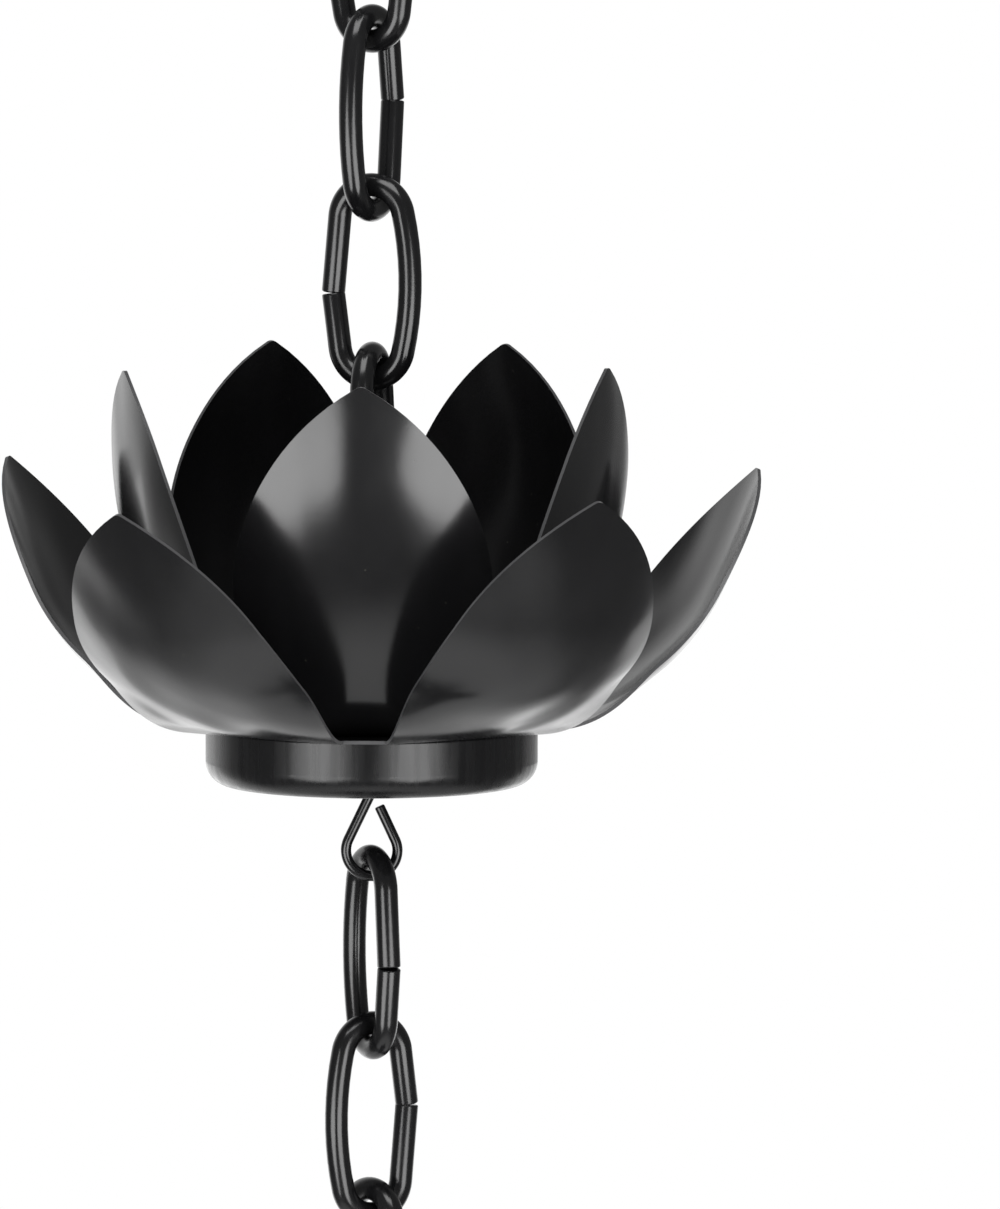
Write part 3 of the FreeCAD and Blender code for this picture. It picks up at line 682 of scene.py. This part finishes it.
def seen_rays(tree):
    """1 for the rays that show what is behind the object: from the camera, off gloss and
    through glass. 0 for those that only light it."""
    rays = add_node(tree, "ShaderNodeLightPath").outputs
    seen = rays["Is Camera Ray"]
    for ray in ("Is Glossy Ray", "Is Transmission Ray"):
        either = add_node(tree, "ShaderNodeMath", {"operation": "MAXIMUM"}, {0: seen, 1: rays[ray]})
        seen = either.outputs["Value"]
    return seen


def backdrop_seen(tree, way):
    """How bright the room is in one direction: white where the backdrop stands and for every
    ray from the camera, and dimmer elsewhere."""
    behind = add_node(tree, "ShaderNodeVectorMath", {"operation": "DOT_PRODUCT"}, {
        0: way, 1: BACKDROP_WAY})
    backdrop = add_node(tree, "ShaderNodeMapRange", {"interpolation_type": "SMOOTHSTEP"}, {
        "Value": behind.outputs["Value"], "From Min": BACKDROP_EDGE[0], "From Max": BACKDROP_EDGE[1],
        "To Min": ROOM_SEEN})
    camera = add_node(tree, "ShaderNodeLightPath").outputs["Is Camera Ray"]
    shown = add_node(tree, "ShaderNodeMath", {"operation": "MAXIMUM"}, {
        0: camera, 1: backdrop.outputs["Result"]})
    return shown.outputs["Value"]


def make_floor(height):
    """The floor keeps the chain's shadow, and further out it shows as pure white."""
    mesh = bpy.data.meshes.new("studio floor")
    half = FLOOR_SIZE / 2
    corners = [(-half, -half, height), (half, -half, height), (half, half, height), (-half, half, height)]
    mesh.from_pydata(corners, [], [(0, 1, 2, 3)])
    floor = bpy.data.objects.new("studio_floor", mesh)
    scene.collection.objects.link(floor)
    material = bpy.data.materials.new("matt pale floor")
    material.use_nodes = True
    tree = material.node_tree
    tree.nodes.clear()
    place = add_node(tree, "ShaderNodeTexCoord").outputs["Object"]
    flat = add_node(tree, "ShaderNodeVectorMath", {"operation": "MULTIPLY"}, {0: place, 1: (1.0, 1.0, 0.0)})
    away = add_node(tree, "ShaderNodeVectorMath", {"operation": "LENGTH"}, {0: flat.outputs["Vector"]})
    way = add_node(tree, "ShaderNodeVectorMath", {"operation": "NORMALIZE"}, {0: flat.outputs["Vector"]})
    fade = add_node(tree, "ShaderNodeMapRange", {"interpolation_type": "SMOOTHSTEP"}, {
        "Value": away.outputs["Value"], "From Min": FLOOR_FADE[0], "From Max": FLOOR_FADE[1]})
    shown = add_node(tree, "ShaderNodeMath", {"operation": "MULTIPLY"}, {
        0: fade.outputs["Result"], 1: seen_rays(tree)})
    matt = add_node(tree, "ShaderNodeBsdfPrincipled", inputs={
        "Base Color": linear(FLOOR_COLOUR), "Roughness": 0.9, "Specular IOR Level": 0.1})
    white = add_node(tree, "ShaderNodeEmission", inputs={
        "Color": (1, 1, 1, 1), "Strength": backdrop_seen(tree, way.outputs["Vector"])})
    both = add_node(tree, "ShaderNodeMixShader", inputs={
        0: shown.outputs["Value"], 1: matt.outputs["BSDF"], 2: white.outputs["Emission"]})
    add_node(tree, "ShaderNodeOutputMaterial", inputs={"Surface": both.outputs["Shader"]})
    mesh.materials.append(material)


def make_room():
    """White wherever the camera looks past the object. Gloss and glass show the white backdrop
    behind the chain and a dimmer room elsewhere, and the room's own light is soft."""
    world = bpy.data.worlds.new("white room")
    world.use_nodes = True
    tree = world.node_tree
    tree.nodes.clear()
    way = add_node(tree, "ShaderNodeTexCoord").outputs["Generated"]
    strength = add_node(tree, "ShaderNodeMix", {"data_type": "FLOAT"}, {
        0: seen_rays(tree), 2: ROOM_LIGHT, 3: backdrop_seen(tree, way)})
    light = add_node(tree, "ShaderNodeBackground", inputs={
        "Color": (1, 1, 1, 1), "Strength": strength.outputs[0]})
    add_node(tree, "ShaderNodeOutputWorld", inputs={"Surface": light.outputs["Background"]})
    scene.world = world


def towards(azimuth, elevation):
    """The direction from the object to a place round it. Azimuth 0 is in front, at -Y."""
    a, e = math.radians(azimuth), math.radians(elevation)
    return Vector((math.sin(a) * math.cos(e), -math.cos(a) * math.cos(e), math.sin(e)))


def add_panel(name, target, place, distance, size, brightness, lean=0.0):
    """A soft light panel that faces its target from an azimuth and elevation and leans to one
    side by an angle in degrees. Its brightness is against that of the backdrop."""
    way = towards(*place)
    light = bpy.data.lights.new(name, "AREA")
    light.shape = "RECTANGLE"
    light.size, light.size_y = size
    light.energy = brightness * math.pi * size[0] * size[1]
    lamp = bpy.data.objects.new(name, light)
    turn = (-way).to_track_quat("-Z", "Y").to_matrix().to_4x4()
    roll = Matrix.Rotation(math.radians(lean), 4, "Z")
    lamp.matrix_world = Matrix.Translation(target + way * distance) @ turn @ roll
    lamp.visible_camera = False
    scene.collection.objects.link(lamp)


def set_camera(ring):
    """The middle cup's ring lies where the photograph has it. The lens is shifted and not
    turned, because the cup stands left of the picture's middle."""
    back = towards(CAMERA_AZIMUTH, CAMERA_ELEVATION)
    right = Vector((math.cos(math.radians(CAMERA_AZIMUTH)), math.sin(math.radians(CAMERA_AZIMUTH)), 0))
    lens = bpy.data.cameras.new("camera")
    lens.sensor_width = SENSOR
    lens.lens = PICTURE_SCALE / MM * CAMERA_DISTANCE * SENSOR / PICTURE[1]
    lens.shift_x = (PICTURE[0] / 2 - RING_AT[0]) / PICTURE[1]
    lens.shift_y = (RING_AT[1] - PICTURE[1] / 2) / PICTURE[1]
    camera = bpy.data.objects.new("camera", lens)
    axes = Matrix((right, back.cross(right), back)).transposed().to_4x4()
    camera.matrix_world = Matrix.Translation(ring + back * CAMERA_DISTANCE) @ axes
    scene.collection.objects.link(camera)
    scene.camera = camera


middle = Vector((0, 0, ring_heights[MIDDLE_CUP]))
make_floor(cad_box[0][2] - FLOOR_DROP)
make_room()
add_panel("left panel", middle, LEFT_PANEL_AT, PANEL_DISTANCE, PANEL_SIZE, PANEL_BRIGHTNESS, -PANEL_LEAN)
add_panel("right panel", middle, RIGHT_PANEL_AT, PANEL_DISTANCE, PANEL_SIZE, PANEL_BRIGHTNESS, PANEL_LEAN)
add_panel("left rear panel", middle, LEFT_REAR_AT, PANEL_DISTANCE, REAR_SIZE, REAR_BRIGHTNESS)
add_panel("right rear panel", middle, RIGHT_REAR_AT, PANEL_DISTANCE, REAR_SIZE, REAR_BRIGHTNESS)
add_panel("top panel", middle, TOP_AT, TOP_DISTANCE, TOP_SIZE, TOP_BRIGHTNESS)
set_camera(middle)
scene.view_settings.view_transform = "Standard"
